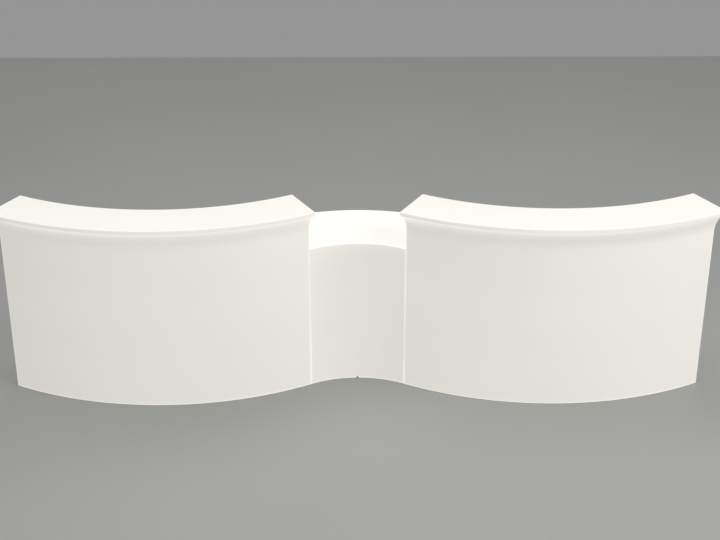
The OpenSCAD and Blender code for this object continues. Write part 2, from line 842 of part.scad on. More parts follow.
// Foot screwed fully in: its hexagon meets the sleeve's flange
module foot(m, d, s)
    color("#4a4a4a") place(m) at_foot(m, d, s) {
        edge = pad_h / 4;
        cylinder(d1 = pad_d - 2 * edge, d2 = pad_d, h = edge);
        translate([0, 0, edge]) cylinder(d = pad_d, h = pad_h / 2 - edge);
        translate([0, 0, pad_h / 2]) cylinder(d1 = pad_d, d2 = foot_hex, h = pad_h / 2);
        translate([0, 0, pad_h - over / 2])
            cylinder(d = foot_hex / cos(30), h = foot_hex_h + over / 2, $fn = 6);
        cylinder(d = stem_d, h = sleeve_top);
    }

module left_foot_front_end() foot(-1, foot_front, 1);
module left_foot_front_joint() foot(-1, foot_front, -1);
module left_foot_rear_end() foot(-1, rear_foot, 1);
module left_foot_rear_joint() foot(-1, rear_foot, -1);
module middle_foot_front_left() foot(0, foot_front, -1);
module middle_foot_front_right() foot(0, foot_front, 1);
module middle_foot_rear_left() foot(0, rear_foot, -1);
module middle_foot_rear_right() foot(0, rear_foot, 1);
module right_foot_front_end() foot(1, foot_front, 1);
module right_foot_front_joint() foot(1, foot_front, -1);
module right_foot_rear_end() foot(1, rear_foot, 1);
module right_foot_rear_joint() foot(1, rear_foot, -1);

// Frame of a joining bolt: its axis is +Z, from the middle module into a tall one
module at_joining_bolts()
    for (m = [-1, 1]) mirror([m < 0 ? 1 : 0, 0, 0]) place(0) rotate(-half_angle)
        for (z = [low_bolt_z, high_bolt_z])
            translate([0, rad(0, bolt_depth), z]) rotate([0, 90, 0]) children();

module joining_bolts()
    color("silver") at_joining_bolts() {
        shank = 2 * (grip + washer_t) + nut_h + bolt_proud;
        translate([0, 0, grip + washer_t - shank]) cylinder(d = bolt_d, h = shank);
        translate([0, 0, grip + washer_t])
            cylinder(d = bolt_hex / cos(30), h = bolt_head_h, $fn = 6);
    }

module joining_nuts()
    color("silver") at_joining_bolts() translate([0, 0, -grip - washer_t - nut_h]) difference() {
        cylinder(d = bolt_hex / cos(30), h = nut_h, $fn = 6);
        translate([0, 0, -over]) cylinder(r = bolt_d / 2 + screw_gap, h = nut_h + 2 * over);
    }

module joining_washers()
    color("silver") at_joining_bolts() for (z = [grip, -grip - washer_t])
        translate([0, 0, z]) difference() {
            cylinder(d = washer_d, h = washer_t);
            translate([0, 0, -over]) cylinder(r = bolt_d / 2 + screw_gap, h = washer_t + 2 * over);
        }

left_fascia();
middle_fascia();
right_fascia();
left_base();
middle_base();
right_base();
left_reflector();
middle_reflector();
right_reflector();
middle_light_tray();
left_worktop();
right_worktop();
left_end_cheek();
left_joint_cheek();
middle_left_cheek();
middle_right_cheek();
right_joint_cheek();
right_end_cheek();
left_shelf();
middle_shelf();
right_shelf();
left_shelf_batten();
middle_shelf_batten();
right_shelf_batten();
shelf_pegs();
left_led_channels();
middle_led_channels();
right_led_channels();
led_strips();
led_covers();
led_leads();
left_driver();
middle_driver();
right_driver();
mains_cables();
cable_saddles();
grommets();
mains_inlet();
switch_rocker();
foot_sleeves();
left_foot_front_end();
left_foot_front_joint();
left_foot_rear_end();
left_foot_rear_joint();
middle_foot_front_left();
middle_foot_front_right();
middle_foot_rear_left();
middle_foot_rear_right();
right_foot_front_end();
right_foot_front_joint();
right_foot_rear_end();
right_foot_rear_joint();
joining_bolts();
joining_nuts();
joining_washers();
panel_screws();
cheek_screws();
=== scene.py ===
"""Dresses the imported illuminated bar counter: moulded shells, finishes, floor, lamps and camera."""
import math

import bmesh
import bpy
from mathutils import Matrix, Vector
from mathutils.geometry import tessellate_polygon

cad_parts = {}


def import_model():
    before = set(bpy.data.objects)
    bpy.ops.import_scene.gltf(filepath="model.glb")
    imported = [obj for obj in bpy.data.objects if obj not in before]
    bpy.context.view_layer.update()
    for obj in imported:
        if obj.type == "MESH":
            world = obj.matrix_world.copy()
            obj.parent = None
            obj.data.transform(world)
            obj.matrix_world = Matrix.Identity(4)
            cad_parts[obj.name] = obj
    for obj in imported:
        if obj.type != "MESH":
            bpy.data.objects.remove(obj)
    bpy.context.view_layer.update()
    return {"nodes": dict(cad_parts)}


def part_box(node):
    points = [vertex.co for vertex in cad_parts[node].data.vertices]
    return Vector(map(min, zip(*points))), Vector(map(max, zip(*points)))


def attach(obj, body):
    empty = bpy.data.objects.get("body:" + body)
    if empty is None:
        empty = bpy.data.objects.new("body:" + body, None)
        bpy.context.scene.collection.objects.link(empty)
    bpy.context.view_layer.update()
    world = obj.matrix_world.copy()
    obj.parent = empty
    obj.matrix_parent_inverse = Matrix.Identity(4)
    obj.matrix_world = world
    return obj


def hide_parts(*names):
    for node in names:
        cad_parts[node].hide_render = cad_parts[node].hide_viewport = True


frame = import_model()

# Driving sizes in metres, as in the part's source
FRONT_R = 1.690
MID_FRONT_R = 0.532
HALF = math.radians(29.25)
DEPTH = 0.438
TOP_DEPTH = 0.270
LIP_OUT = 0.080
COVE_H = 0.130
NOSE_H = 0.020
EDGE_R = 0.004
WALL = 0.006
PANEL_T = 0.006
APRON_H = 0.086
NOTCH_W = 0.012
NOTCH_H = 0.009
CABLE_INSET = 0.026
CABLE_Z = 0.056
GROMMET_HOLE_R = 0.010
BOLT_R = 0.0045
BOLT_REAR = 0.108
BOLT_HEIGHTS = (0.240, 0.640)

# Roundings that only the dressed shells have: end edges, nose's lower edge and hole rims
END_R = 0.003
NOSE_R = 0.0032
RIM_CUT = 0.0005

# Rows up, over and down the dressed shells: the lowest ones over the skirt, then steps and margins
SKIRT_RISES = (0, 0.003, 0.013, 0.025)
FRONT_FROM = 0.05
FRONT_STEP = 0.045
TOP_STEP = 0.035
REAR_STEP = 0.05
TOP_MARGIN = 0.03
EDGE_MARGIN = 0.01

# How finely the dressed shells are divided
COVE_STEPS = 18
COVE_BACK_STEPS = 16
ROUND_STEPS = 6
HOLE_STEPS = 24
NOTCH_STEPS = 5
NOTCH_CLEAR = 1.5
MID_COLUMNS = 64
TALL_COLUMNS = 96

# Points of a shell closer than this are one; edges sharper than this angle stay sharp
SAME_POINT = 1e-6
SHARP = math.radians(32)

# Heights and the middle arc's centre, from the frame
BAR_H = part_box("right_fascia")[1].z
WORK_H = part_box("middle_fascia")[1].z
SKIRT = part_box("right_fascia")[0].z
MID_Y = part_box("middle_fascia")[1].y - MID_FRONT_R - DEPTH

# Worked out from the above
ARC_X = (MID_FRONT_R + FRONT_R) * math.sin(HALF)
ARC_Y = MID_Y + (MID_FRONT_R + FRONT_R) * math.cos(HALF)
COVE_Z = BAR_H - NOSE_H - COVE_H
COVE_R = (COVE_H ** 2 + LIP_OUT ** 2) / (2 * LIP_OUT)
PANEL_D = TOP_DEPTH - LIP_OUT
TRAY_Z = WORK_H - APRON_H


# Plan of the modules

def radius(side, depth):
    """Radius at a depth behind the front face, in module side: -1 left, 0 middle, 1 right."""
    return MID_FRONT_R + depth if side == 0 else FRONT_R - depth


def place(side, depth, z, angle):
    """Point of a module; in a tall one the angle grows towards its free end."""
    x = radius(side, depth) * math.sin(angle)
    y = radius(side, depth) * math.cos(angle)
    if side == 0:
        return Vector((x, MID_Y + y, z))
    return Vector((side * (ARC_X + x), ARC_Y - y, z))


def end_angle(side, depth, end, inset):
    """Angle at a distance inside a module's end plane; end is -1 or 1."""
    return end * (HALF - math.asin(inset / radius(side, depth)))


# Sections, as depth from the front face against height

def arc(centre, r, start, stop, steps):
    """Points of an arc, without rounding."""
    turns = [start + (stop - start) * k / steps for k in range(steps + 1)]
    return [(centre[0] + r * math.cos(t), centre[1] + r * math.sin(t), 0) for t in turns]


def line(start, stop, step):
    """Points along a straight stretch, its far end left out."""
    count = max(1, round(math.dist(start, stop) / step))
    (d, z), (far_d, far_z) = start, stop
    shares = [k / count for k in range(count)]
    return [(d + (far_d - d) * s, z + (far_z - z) * s, 0) for s in shares]


def rounded(corners):
    """Path through (depth, height, rounding) corners, with each rounding as an arc."""
    path = []
    for k, (d, z, r) in enumerate(corners):
        here = Vector((d, z))
        if not r:
            path.append(here)
            continue
        back = (Vector(corners[k - 1][:2]) - here).normalized()
        on = (Vector(corners[k + 1][:2]) - here).normalized()
        half = back.angle(on) / 2
        centre = here + (back + on).normalized() * (r / math.sin(half))
        first = here + back * (r / math.tan(half)) - centre
        last = here + on * (r / math.tan(half)) - centre
        whole = first.angle(last)
        for j in range(ROUND_STEPS + 1):
            share = j / ROUND_STEPS
            arm = first * math.sin((1 - share) * whole) + last * math.sin(share * whole)
            path.append(centre + arm / math.sin(whole))
    return path


def front_rows(depth, top):
    """Rows up a front wall, close together near its lower edge."""
    low = [(depth, SKIRT + rise, 0) for rise in SKIRT_RISES]
    return low + line((depth, FRONT_FROM), (depth, top), FRONT_STEP)


def top_rows(front, rear, z):
    """Rows over a flat top, with its rounded rear edge."""
    rows = line((front + TOP_MARGIN, z), (rear - TOP_MARGIN, z), TOP_STEP)
    return rows + [(rear - TOP_MARGIN, z, 0), (rear - EDGE_MARGIN, z, 0), (rear, z, EDGE_R)]


def tall_sections():
    """Outside, inside and rear-edge paths of a tall shell's section."""
    sweep = math.asin(COVE_H / COVE_R)
    outside = front_rows(0, COVE_Z)
    outside += arc((-COVE_R, COVE_Z), COVE_R, 0, sweep, COVE_STEPS)[:-1]
    outside += [(-LIP_OUT, BAR_H - NOSE_H, NOSE_R), (-LIP_OUT, BAR_H, EDGE_R)]
    outside += top_rows(-LIP_OUT, PANEL_D, BAR_H)
    outside += [(PANEL_D, BAR_H - EDGE_MARGIN, 0)]
    outside += line((PANEL_D, BAR_H - REAR_STEP), (PANEL_D, WORK_H), REAR_STEP)
    outside += [(PANEL_D, WORK_H, 0)]
    reach = math.acos((COVE_R - LIP_OUT + WALL) / (COVE_R + WALL))
    inside = front_rows(WALL, COVE_Z)
    inside += arc((-COVE_R, COVE_Z), COVE_R + WALL, 0, reach, COVE_BACK_STEPS)
    inside += [(WALL - LIP_OUT, BAR_H - WALL, 0)]
    inside += [(PANEL_D - WALL, BAR_H - WALL, 0), (PANEL_D - WALL, WORK_H, 0)]
    rear = [(PANEL_D, WORK_H, 0), (DEPTH, WORK_H, EDGE_R), (DEPTH, SKIRT, 0)]
    return rounded(outside), rounded(inside), rounded(rear)[1:]


def middle_sections():
    """Outside, inside and rear-edge paths of the middle shell's section."""
    outside = front_rows(0, WORK_H - TOP_MARGIN)
    outside += [(0, WORK_H - TOP_MARGIN, 0), (0, WORK_H, EDGE_R)]
    outside += top_rows(0, DEPTH, WORK_H)
    outside += [(DEPTH, WORK_H - EDGE_MARGIN, 0), (DEPTH, TRAY_Z, 0)]
    inside = front_rows(WALL, WORK_H - WALL) + [(WALL, WORK_H - WALL, 0)]
    inside += [(DEPTH - WALL, WORK_H - WALL, 0), (DEPTH - WALL, TRAY_Z, 0)]
    rear = [(DEPTH, TRAY_Z, 0), (DEPTH, SKIRT, 0)]
    return rounded(outside), rounded(inside), rounded(rear)[1:]


def inset_loop(loop, distance):
    """Closed outline moved inward; it runs up the front, over the top and down the rear."""
    moved = []
    for k, here in enumerate(loop):
        before = (here - loop[k - 1]).normalized()
        after = (loop[(k + 1) % len(loop)] - here).normalized()
        n1 = Vector((before.y, -before.x))
        n2 = Vector((after.y, -after.x))
        moved.append(here + (n1 + n2) * (distance / (1 + n1.dot(n2))))
    return moved


def circle(d, z, r):
    """Closed path round a hole."""
    turns = [2 * math.pi * k / HOLE_STEPS for k in range(HOLE_STEPS)]
    return [Vector((d + r * math.cos(t), z + r * math.sin(t))) for t in turns]


# Channels that carry the lamps: on the panels behind the fronts, and on the middle's tray
CHANNEL_T = 0.012
CHANNEL_HEIGHTS = (0.200, 0.560)
TOP_CHANNEL_DROP = 0.140
TRAY_CHANNEL_D = PANEL_D + 0.0085
TRAY_CHANNEL_APART = 0.130
TRAY_CHANNEL_RISE = 0.018

# Their lamps, as depth, height and facing
CHANNEL_D = PANEL_D - PANEL_T - CHANNEL_T
MIDDLE_LAMPS = [(CHANNEL_D, z, (-1, 0)) for z in CHANNEL_HEIGHTS]
TALL_LAMPS = MIDDLE_LAMPS + [(CHANNEL_D, BAR_H - TOP_CHANNEL_DROP, (-1, 0))]
MIDDLE_LAMPS += [(TRAY_CHANNEL_D + k * TRAY_CHANNEL_APART, TRAY_Z + TRAY_CHANNEL_RISE, (0, 1))
                 for k in (0, 1)]

# Lamp light behind a wall and how it falls off, and painted light: in the coves, on the middle
# shell's top and front, and near the floor for what the floor sends back
LAMP_NEAR = 0.2
LAMP_DIVISOR = 16
COVE_PAINTED_LIGHT = 3.3
COVE_LOSS = 0.49
NOSE_FROM = 0.94
NOSE_PAINTED_LIGHT = 0.25
MID_TOP_PAINTED_LIGHT = 0.8
MID_FRONT_PAINTED_LIGHT = 0.4
MID_FRONT_FADE = 0.07
FLOOR_PAINTED_LIGHT = 0.3
FLOOR_FADE = 0.2


def lamp_and_painted_light(side, d, z):
    """Lamp light behind a wall at this depth and height.

    Painted light is added: it gathers in a tall shell's cove, lightening its shade, in the middle
    shell on and under its top, and near the floor.
    """
    total = 0
    for lamp_d, lamp_z, facing in (MIDDLE_LAMPS if side == 0 else TALL_LAMPS):
        away = Vector((d - lamp_d, z - lamp_z))
        leaving = max(0, away.normalized().dot(Vector(facing)))
        total += leaving / (away.length + LAMP_NEAR)
    if side == 0 and z > WORK_H - EDGE_R / 2:
        gathered = MID_TOP_PAINTED_LIGHT
    elif side == 0:
        gathered = MID_FRONT_PAINTED_LIGHT * math.exp((z - WORK_H) / MID_FRONT_FADE)
    else:
        gathered = cove_painted_light(d, z)
    # Painted light: the gathered share lightens the coves and the middle shell's top and front, and
    # the floor share brightens every wall near the floor
    return total / LAMP_DIVISOR + gathered + FLOOR_PAINTED_LIGHT * math.exp(-z / FLOOR_FADE)


def cove_painted_light(d, z):
    """Painted light in a tall shell's cove that lightens its shade; less in its nose and none in its
    top.
    """
    out = min(1, max(0, -d / LIP_OUT))
    if z > BAR_H - EDGE_R / 2:
        return 0
    if z > COVE_Z and out > NOSE_FROM:
        return NOSE_PAINTED_LIGHT
    return COVE_PAINTED_LIGHT * out * (1 - COVE_LOSS * out * out)


# Lamp light behind the flat end walls
END_LIGHT = 0.35

# Light let out at rims and painted rim highlights: how far inside an end it starts to fade, and how
# fast it falls off
END_RIM = 0.001
END_FADE = 0.003
EDGE_FADE = 0.005

# Depth up to which a wall's lower edge counts as the front one, which has a painted highlight
FRONT_RIM_D = 0.02

# How much light the rims of the left and the right ends let out, partly painted highlight, as height
# and share
RIM_LEAKS_AND_HIGHLIGHTS = {
    -1: ((0, 1.0), (0.29, 1.0), (0.36, 0.55), (1.1, 0.55)),
    1: ((0, 1.1), (0.15, 1.1), (0.20, 0.55), (0.28, 0.55), (0.34, 0.9), (1.1, 0.9)),
}


def rim_leak_and_highlight(x, z):
    """Share of rim light, partly painted highlight, at a height, blended between the listed ones."""
    stops = RIM_LEAKS_AND_HIGHLIGHTS[1 if x > 0 else -1]
    for (low, one), (high, two) in zip(stops, stops[1:]):
        if z <= high:
            return one + (two - one) * max(0, z - low) / (high - low)
    return stops[-1][1]


class Shell:
    """Moulded shell of one module: a turned wall with two closed ends, as one mesh."""

    def __init__(self, side):
        self.side = side
        self.mesh = bmesh.new()
        # Vertex layers: lit is lamp light plus painted light, rim is light let out at the end rims
        # plus painted edge highlights
        self.lit = self.mesh.verts.layers.float.new("lit")
        self.rim = self.mesh.verts.layers.float.new("rim")
        self.outside, self.inside, self.rear = middle_sections() if side == 0 else tall_sections()
        self.outline = self.outside + self.rear + [Vector((WALL, SKIRT))]
        self.section = self.outside + self.inside[::-1]

    def point(self, d, z, angle, inset):
        """Vertex at a place of the section; inset is its distance inside the end plane."""
        v = self.mesh.verts.new(place(self.side, d, z, angle))
        if inset > 0:
            # lit: lamp light behind the wall plus painted light in coves, on the middle's top and
            # front and near the floor
            v[self.lit] = lamp_and_painted_light(self.side, d, z)
            # rim: light let out at the end rims, partly painted highlight, and painted highlights on
            # the lower front edge and the top's rear edge
            near = math.exp(-max(0, inset - END_RIM) / END_FADE) * rim_leak_and_highlight(v.co.x, z)
            v[self.rim] = max(near, self.painted_edge_highlight(d, z))
        else:
            v[self.lit] = END_LIGHT
        return v

    def painted_edge_highlight(self, d, z):
        """Painted highlight by nearness to the wall's lower edge in front, or to the rear edge of its
        top, up to 1.
        """
        if d < FRONT_RIM_D:
            return math.exp(-(z - SKIRT) / EDGE_FADE)
        rear, top = (DEPTH, WORK_H) if self.side == 0 else (PANEL_D, BAR_H)
        return math.exp(-math.hypot(rear - d, top - z) / EDGE_FADE)

    def ring(self, path, end, inset):
        """Vertices of a path at a distance inside an end plane."""
        angles = [end_angle(self.side, p.x, end, inset) for p in path]
        return [self.point(p.x, p.y, a, inset) for p, a in zip(path, angles)]

    def band(self, one, two):
        """Quads between two closed rings with as many vertices."""
        for k in range(len(one)):
            j = (k + 1) % len(one)
            self.mesh.faces.new((one[k], one[j], two[j], two[k]))

    def turn_wall(self):
        """The wall, turned between the inner faces of the two ends."""
        count = MID_COLUMNS if self.side == 0 else TALL_COLUMNS
        step = 2 * HALF / count
        angles = [-HALF + step * k for k in range(1, count)]
        notch = []
        if self.side == 0:
            turns = [math.pi / 2 * k / NOTCH_STEPS for k in range(-NOTCH_STEPS, NOTCH_STEPS + 1)]
            notch = [NOTCH_W / 2 * math.sin(turn) / MID_FRONT_R for turn in turns]
            angles = sorted([a for a in angles if abs(a) > NOTCH_CLEAR * notch[-1]] + notch)
        columns = [(None, self.ring(self.section, -1, WALL))]
        for a in angles:
            inset = radius(self.side, 0) * (HALF - abs(a))
            column = [self.point(p.x, p.y, a, inset) for p in self.section]
            columns.append((a if a in notch else None, column))
        columns.append((None, self.ring(self.section, 1, WALL)))
        for (a, one), (b, two) in zip(columns, columns[1:]):
            if a is not None and b is not None:
                self.band(one[1:-1], two[1:-1])
            else:
                self.band(one, two)
        if notch:
            self.cut_notch([(a, column) for a, column in columns if a is not None])

    def cut_notch(self, columns):
        """Lifts the wall's lower edge to a round-headed notch, and closes its two sides."""
        middle = SKIRT + NOTCH_H - NOTCH_W / 2
        for a, column in columns:
            x = a * MID_FRONT_R
            for v in (column[1], column[-2]):
                v.co.z = middle + math.sqrt(max(0, (NOTCH_W / 2) ** 2 - x * x))
        for _, column in (columns[0], columns[-1]):
            self.mesh.faces.new((column[0], column[1], column[-2], column[-1]))
        for _, column in columns[1:-1]:
            self.mesh.verts.remove(column[0])
            self.mesh.verts.remove(column[-1])

    def holes(self, end):
        """Holes through a joined end wall, as depth, height and radius; a free end has none."""
        if self.side != 0 and end > 0:
            return []
        bolts = [(DEPTH - BOLT_REAR, z, BOLT_R) for z in BOLT_HEIGHTS]
        return bolts + [(PANEL_D - PANEL_T - CABLE_INSET, CABLE_Z, GROMMET_HOLE_R)]

    def fill(self, path, holes, end, inset, widen):
        """Flat face at a distance inside an end plane, with its holes, and the loops round them."""
        loops = [path] + [circle(d, z, r + widen) for d, z, r in holes]
        rings = [self.ring(loop, end, inset) for loop in loops]
        flat = [v for ring in rings for v in ring]
        for corners in tessellate_polygon([[p.to_3d() for p in loop] for loop in loops]):
            self.mesh.faces.new([flat[k] for k in corners])
        return rings[0], rings[1:]

    def close_end(self, end):
        """One end wall: rounded edge, outer face, inner face and hole walls."""
        holes = self.holes(end)
        last = self.ring(self.outline, end, WALL)
        for k in range(ROUND_STEPS):
            turn = math.pi / 2 * k / ROUND_STEPS
            path = inset_loop(self.outline, END_R * (1 - math.cos(turn)))
            here = self.ring(path, end, END_R * (1 - math.sin(turn)))
            self.band(last, here)
            last = here
        face, rims = self.fill(inset_loop(self.outline, END_R), holes, end, 0, RIM_CUT)
        self.band(last, face)
        path = self.inside + self.outside[-1:] + self.rear
        _, bores = self.fill(path, holes, end, WALL, 0)
        for rim, bore, hole in zip(rims, bores, holes):
            lip = self.ring(circle(*hole), end, RIM_CUT)
            self.band(rim, lip)
            self.band(lip, bore)

    def build(self, name):
        """The finished object, ready for its material."""
        self.turn_wall()
        self.close_end(-1)
        self.close_end(1)
        bmesh.ops.remove_doubles(self.mesh, verts=self.mesh.verts, dist=SAME_POINT)
        bmesh.ops.recalc_face_normals(self.mesh, faces=self.mesh.faces)
        data = bpy.data.meshes.new(name)
        self.mesh.to_mesh(data)
        self.mesh.free()
        data.shade_smooth()
        data.set_sharp_from_angle(angle=SHARP)
        piece = bpy.data.objects.new(name, data)
        bpy.context.scene.collection.objects.link(piece)
        smooth_normals(piece)
        return piece


def smooth_normals(piece):
    """Large faces lead the shading, so flat faces stay flat beside their rounded edges."""
    normals = piece.modifiers.new("normals", "WEIGHTED_NORMAL")
    normals.keep_sharp = True
    normals.weight = 70


# Finishes

class Surface:
    """Node tree of one procedural material, worked in metres on the piece's own coordinates."""

    def __init__(self, name, roughness, metallic=0.0):
        self.material = bpy.data.materials.new(name)
        self.material.use_nodes = True
        self.tree = self.material.node_tree
        self.shader = self.tree.nodes["Principled BSDF"]
        self.shader.inputs["Roughness"].default_value = roughness
        self.shader.inputs["Metallic"].default_value = metallic
        self.coords = self.add("TexCoord").outputs["Object"]

    def add(self, kind, inputs=(), **settings):
        """Adds a node; its inputs are values or other nodes' sockets."""
        node = self.tree.nodes.new("ShaderNode" + kind)
        for key, value in settings.items():
            setattr(node, key, value)
        for key, value in dict(inputs).items():
            self.feed(node.inputs[key], value)
        return node

    def feed(self, socket, value):
        if isinstance(value, bpy.types.NodeSocket):
            self.tree.links.new(value, socket)
        else:
            socket.default_value = value

    def noise(self, cells, detail=2.0, stretch=(1, 1, 1)):
        """Noise with so many cells per metre."""
        mapped = self.add("Mapping", {"Vector": self.coords, "Scale": stretch}).outputs[0]
        return self.add("TexNoise", {"Vector": mapped, "Scale": cells, "Detail": detail}).outputs[0]

    def ramp(self, value, *stops):
        """Colours at places from 0 to 1, blended between."""
        node = self.add("ValToRGB", {0: value})
        while len(node.color_ramp.elements) < len(stops):
            node.color_ramp.elements.new(0.5)
        for element, (at, colour) in zip(node.color_ramp.elements, stops):
            element.position = at
            element.color = (*colour, 1)
        return node.outputs[0]

    def spread(self, value, low, high):
        """Moves a value from 0 to 1 into the range low to high."""
        return self.add("MapRange", {0: value, 3: low, 4: high}).outputs[0]

    def maths(self, operation, one, two):
        return self.add("Math", {0: one, 1: two}, operation=operation).outputs[0]

    def shine(self, colour, strength):
        """Light that the surface sends out itself."""
        self.feed(self.shader.inputs["Emission Color"], colour)
        self.shader.inputs["Emission Strength"].default_value = strength

    def colour(self, value):
        self.feed(self.shader.inputs["Base Color"], value)

    def rough(self, value):
        self.feed(self.shader.inputs["Roughness"], value)

    def bump(self, *layers):
        """Relief from (height, depth in metres) layers."""
        normal = None
        for height, depth in layers:
            node = self.add("Bump", {"Height": height, "Distance": depth, "Strength": 1.0})
            if normal is not None:
                self.feed(node.inputs["Normal"], normal)
            normal = node.outputs[0]
        self.feed(self.shader.inputs["Normal"], normal)

    def scuffs(self, cells, stretch, share):
        """Thin sparse marks: 1 on a mark and 0 elsewhere."""
        streaks = self.noise(cells, 1.0, stretch)
        return self.ramp(streaks, (1 - share, (0, 0, 0)), (1 - share / 2, (1, 1, 1)))


# How strongly the shells shine: everywhere, by lamp light and painted light behind, and at thin rims
# with painted highlights
GLOW_BASE = 0.254
GLOW_LAMP_AND_PAINTED_LIGHT = 0.12
GLOW_RIM_AND_HIGHLIGHT = 0.165


def opal_plastic():
    """Moulded translucent plastic with a satin skin, lit from behind, with painted light and painted
    edge highlights in its glow.
    """
    s = Surface("opal_plastic", 0.42)
    s.colour(s.ramp(s.noise(1.7, 3), (0.3, (0.655, 0.636, 0.600)), (0.7, (0.675, 0.655, 0.619))))
    # Glow: lit is lamp light plus painted light in coves, on the middle's top and front and near the
    # floor; rim is light let out at the ends plus painted edge highlights
    lit = s.add("Attribute", attribute_name="lit").outputs["Fac"]
    rim = s.add("Attribute", attribute_name="rim").outputs["Fac"]
    uneven = s.spread(s.noise(7, 3), 0.4, 1.6)
    glow = s.maths("ADD", s.maths("MULTIPLY", lit, GLOW_LAMP_AND_PAINTED_LIGHT), GLOW_BASE)
    rims = s.maths("MULTIPLY", s.maths("MULTIPLY", rim, uneven), GLOW_RIM_AND_HIGHLIGHT)
    glow = s.maths("ADD", glow, rims)
    s.shine(s.ramp(glow, (0, (0, 0, 0)), (1, (1.0, 0.968, 0.915))), 1.0)
    marks = s.scuffs(60, (1, 1, 14), 0.28)
    skin = s.spread(s.noise(30, 4), 0.36, 0.46)
    s.rough(s.maths("ADD", skin, s.maths("MULTIPLY", marks, 0.08)))
    s.bump((s.noise(240, 2), 0.00006), (s.noise(9, 2), 0.0005), (marks, 0.00002))
    return s.material


def melamine_board():
    """White melamine-faced board with a fine pearl grain and a little dust."""
    s = Surface("melamine_board", 0.5)
    s.colour(s.ramp(s.noise(3, 5), (0.3, (0.74, 0.73, 0.70)), (0.7, (0.80, 0.79, 0.765))))
    s.rough(s.spread(s.noise(45, 4), 0.42, 0.60))
    s.bump((s.noise(900, 2), 0.00005), (s.scuffs(40, (1, 1, 20), 0.25), 0.00003))
    return s.material


def reflector_panel():
    """Matt white sheet with a faint rolled grain."""
    s = Surface("reflector_panel", 0.65)
    s.colour(s.ramp(s.noise(2.2, 3), (0.3, (0.80, 0.80, 0.78)), (0.7, (0.85, 0.85, 0.835))))
    s.rough(s.spread(s.noise(60, 3), 0.58, 0.72))
    s.bump((s.noise(500, 2, (1, 1, 0.15)), 0.00005))
    return s.material


def worktop_laminate():
    """Pale grey laminate with fine specks, worn a little smoother in places."""
    s = Surface("worktop_laminate", 0.4)
    specks = s.add("TexVoronoi", {"Vector": s.coords, "Scale": 420.0}).outputs["Distance"]
    fine = s.ramp(specks, (0.06, (0.50, 0.50, 0.49)), (0.16, (0.70, 0.70, 0.69)),
                  (0.6, (0.74, 0.74, 0.735)))
    cloud = s.ramp(s.noise(4, 4), (0.3, (0.93, 0.93, 0.92)), (0.7, (1, 1, 1)))
    s.colour(s.add("MixRGB", {0: 1.0, 1: fine, 2: cloud}, blend_type="MULTIPLY").outputs[0])
    s.rough(s.spread(s.noise(6, 5), 0.30, 0.50))
    s.bump((s.noise(700, 3), 0.00006), (s.scuffs(25, (1, 9, 1), 0.26), 0.00002))
    return s.material


def satin_aluminium():
    """Anodised aluminium, drawn along its length."""
    s = Surface("satin_aluminium", 0.35, 1.0)
    s.colour(s.ramp(s.noise(6, 3), (0.3, (0.66, 0.66, 0.67)), (0.7, (0.74, 0.74, 0.75))))
    drawn = s.noise(20, 3, (1, 1, 70))
    s.rough(s.spread(drawn, 0.28, 0.45))
    s.bump((drawn, 0.00003))
    return s.material


def lamp_strip():
    """Cream lamp board, a little lit."""
    s = Surface("lamp_strip", 0.55)
    s.colour(s.ramp(s.noise(90, 2), (0.4, (0.90, 0.84, 0.56)), (0.6, (0.93, 0.88, 0.66))))
    s.shine(s.ramp(s.noise(40, 1), (0.3, (1.0, 0.93, 0.76)), (0.7, (1.0, 0.96, 0.84))), 0.4)
    s.bump((s.noise(800, 1), 0.00005))
    return s.material


def opal_cover():
    """Extruded opal strip with faint drawing lines."""
    s = Surface("opal_cover", 0.5)
    s.colour(s.ramp(s.noise(12, 3), (0.3, (0.86, 0.86, 0.84)), (0.7, (0.90, 0.90, 0.885))))
    s.rough(s.spread(s.noise(50, 2, (1, 1, 20)), 0.42, 0.58))
    s.bump((s.noise(50, 2, (1, 1, 30)), 0.00003))
    return s.material


def cable_jacket():
    """Pale grey flexible jacket, matt with a trace of dust."""
    s = Surface("cable_jacket", 0.6)
    s.colour(s.ramp(s.noise(25, 4), (0.3, (0.62, 0.62, 0.60)), (0.7, (0.72, 0.72, 0.70))))
    s.rough(s.spread(s.noise(120, 3), 0.5, 0.7))
    s.bump((s.noise(600, 2), 0.00006))
    return s.material


def dark_plastic(name, low, high, roughness):
    """Moulded plastic with a spark-eroded grain."""
    s = Surface(name, roughness)
    dark, pale = (low, low, low * 1.03), (high, high, high * 1.02)
    s.colour(s.ramp(s.noise(18, 4), (0.3, dark), (0.7, pale)))
    s.rough(s.spread(s.noise(70, 4), roughness - 0.08, roughness + 0.12))
    s.bump((s.noise(1100, 2), 0.00007))
    return s.material


def zinc_steel():
    """Zinc-plated steel with a faint blue and yellow cast."""
    s = Surface("zinc_steel", 0.35, 1.0)
    cast = s.noise(70, 3)
    s.colour(s.ramp(cast, (0.3, (0.58, 0.60, 0.64)), (0.5, (0.64, 0.64, 0.63)),
                    (0.7, (0.66, 0.64, 0.57))))
    s.rough(s.spread(s.noise(200, 4), 0.28, 0.48))
    s.bump((s.noise(500, 3), 0.00003))
    return s.material


